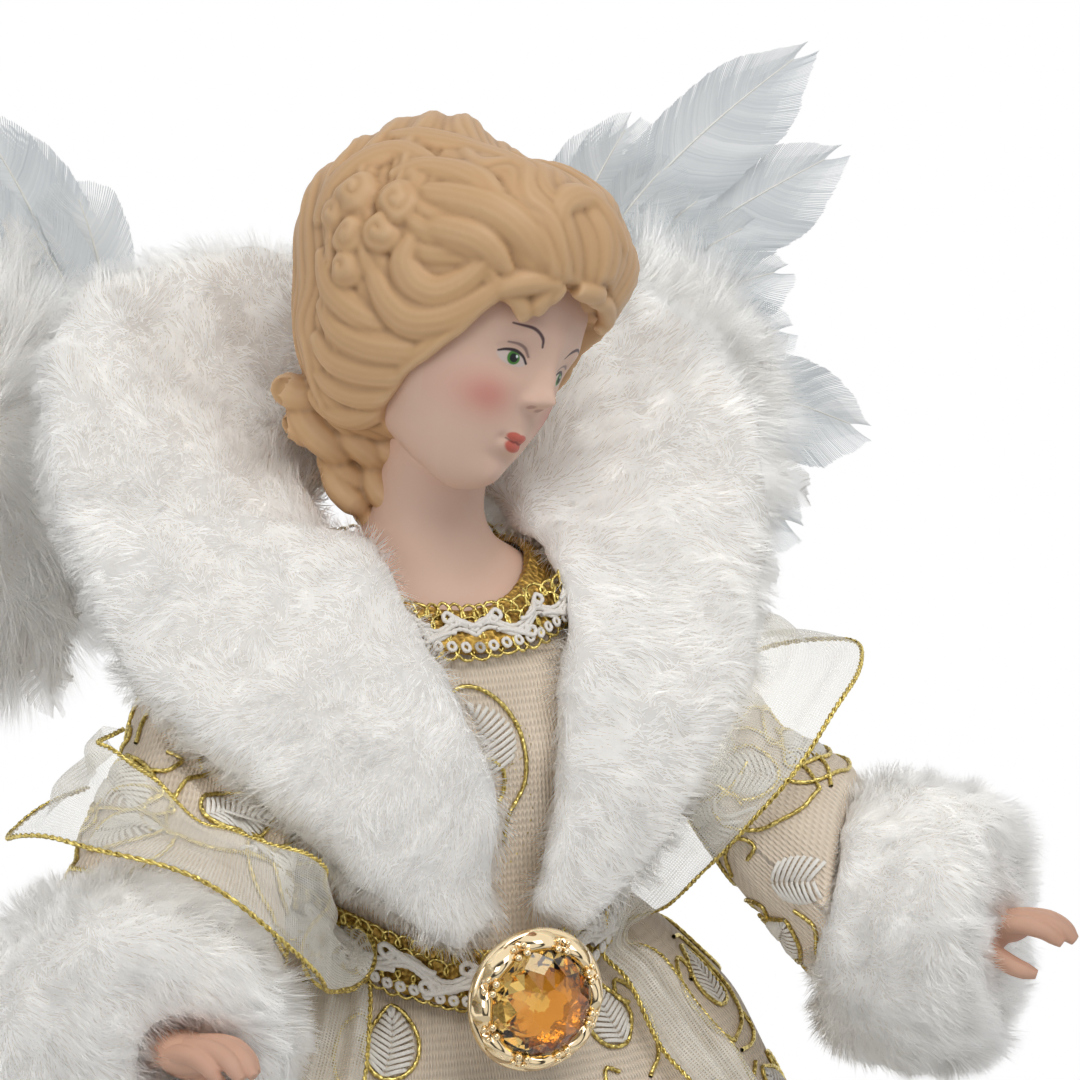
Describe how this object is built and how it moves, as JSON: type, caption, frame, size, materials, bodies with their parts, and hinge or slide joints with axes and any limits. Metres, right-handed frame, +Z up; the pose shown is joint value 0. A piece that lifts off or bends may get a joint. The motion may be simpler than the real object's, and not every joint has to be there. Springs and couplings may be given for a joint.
{
  "type": "decorative angel",
  "caption": "Tree-top angel on a hollow cone, with porcelain head and hands, brocade robe, plush fur, wired arms and folding feather wings.",
  "frame": {"origin": "middle of the cone's foot, on the surface it stands on", "axes": "+Z up, the brooch and the chest face -Y, +X is the angel's left"},
  "size_m": [0.2282, 0.2109, 0.3993],
  "materials": {
    "card": "plain grey-brown board, rolled to a cone",
    "foam": "expanded foam",
    "wire": "bare annealed wire",
    "porcelain": "unglazed bisque, painted face and golden blond moulded hair",
    "brocade": "champagne brocade with gold cord and white satin stitch",
    "braid": "white and gold scroll gimp braid",
    "gilt": "pale gold, polished",
    "amber": "faceted, foil-backed",
    "fur": "white plush fur",
    "felt": "white felt",
    "organza": "sheer, with a gold metallic edge",
    "feather": "white feathers",
    "wing_card": "white board"
  },
  "bodies": {
    "torso": {"base_cone": "card", "bodice": "brocade", "torso_form": "foam", "shoulder_wire": "wire", "porcelain_head": "porcelain", "neckline_braid": "braid", "belt_braid": "braid", "brooch_setting": "gilt", "brooch_stone": "amber", "brooch_shank": "gilt", "fur_collar": "fur", "skirt": "brocade", "hem_fur": "fur", "front_fur_panel": "fur", "sash_left": "organza", "sash_right": "organza", "wing_patch": "felt", "wing_stem_wire": "wire"},
    "arm_left": {"arm_wire_left": "wire", "sleeve_left": "brocade", "cuff_left": "fur", "hand_left": "porcelain"},
    "wing_left": {"wing_wire_left": "wire", "wing_card_left": "wing_card", "primary_feather_left_1": "feather", "primary_feather_left_2": "feather", "primary_feather_left_3": "feather", "primary_feather_left_4": "feather", "primary_feather_left_5": "feather", "primary_feather_left_6": "feather", "lower_coverts_left": "feather", "upper_coverts_left": "feather", "wing_down_left": "feather"},
    "arm_right": {"arm_wire_right": "wire", "sleeve_right": "brocade", "cuff_right": "fur", "hand_right": "porcelain"},
    "wing_right": {"wing_wire_right": "wire", "wing_card_right": "wing_card", "primary_feather_right_1": "feather", "primary_feather_right_2": "feather", "primary_feather_right_3": "feather", "primary_feather_right_4": "feather", "primary_feather_right_5": "feather", "primary_feather_right_6": "feather", "lower_coverts_right": "feather", "upper_coverts_right": "feather", "wing_down_right": "feather"}
  },
  "joints": [
    {"name": "arm_left_swing", "type": "hinge", "parent": "torso", "child": "arm_left", "pos_m": [0.0355, -0.004, 0.294], "axis": [0, 0, 1], "range_deg": [-15, 30], "deforming": ["sash_left"]},
    {"name": "arm_right_swing", "type": "hinge", "parent": "torso", "child": "arm_right", "pos_m": [-0.0355, -0.004, 0.294], "axis": [0, 0, -1], "range_deg": [-15, 30], "deforming": ["sash_right"]},
    {"name": "wing_left_fold", "type": "hinge", "parent": "torso", "child": "wing_left", "pos_m": [0.015, 0.039, 0.306], "axis": [0, 0, 1], "range_deg": [-8, 35]},
    {"name": "wing_right_fold", "type": "hinge", "parent": "torso", "child": "wing_right", "pos_m": [-0.015, 0.039, 0.306], "axis": [0, 0, -1], "range_deg": [-8, 35]}
  ]
}
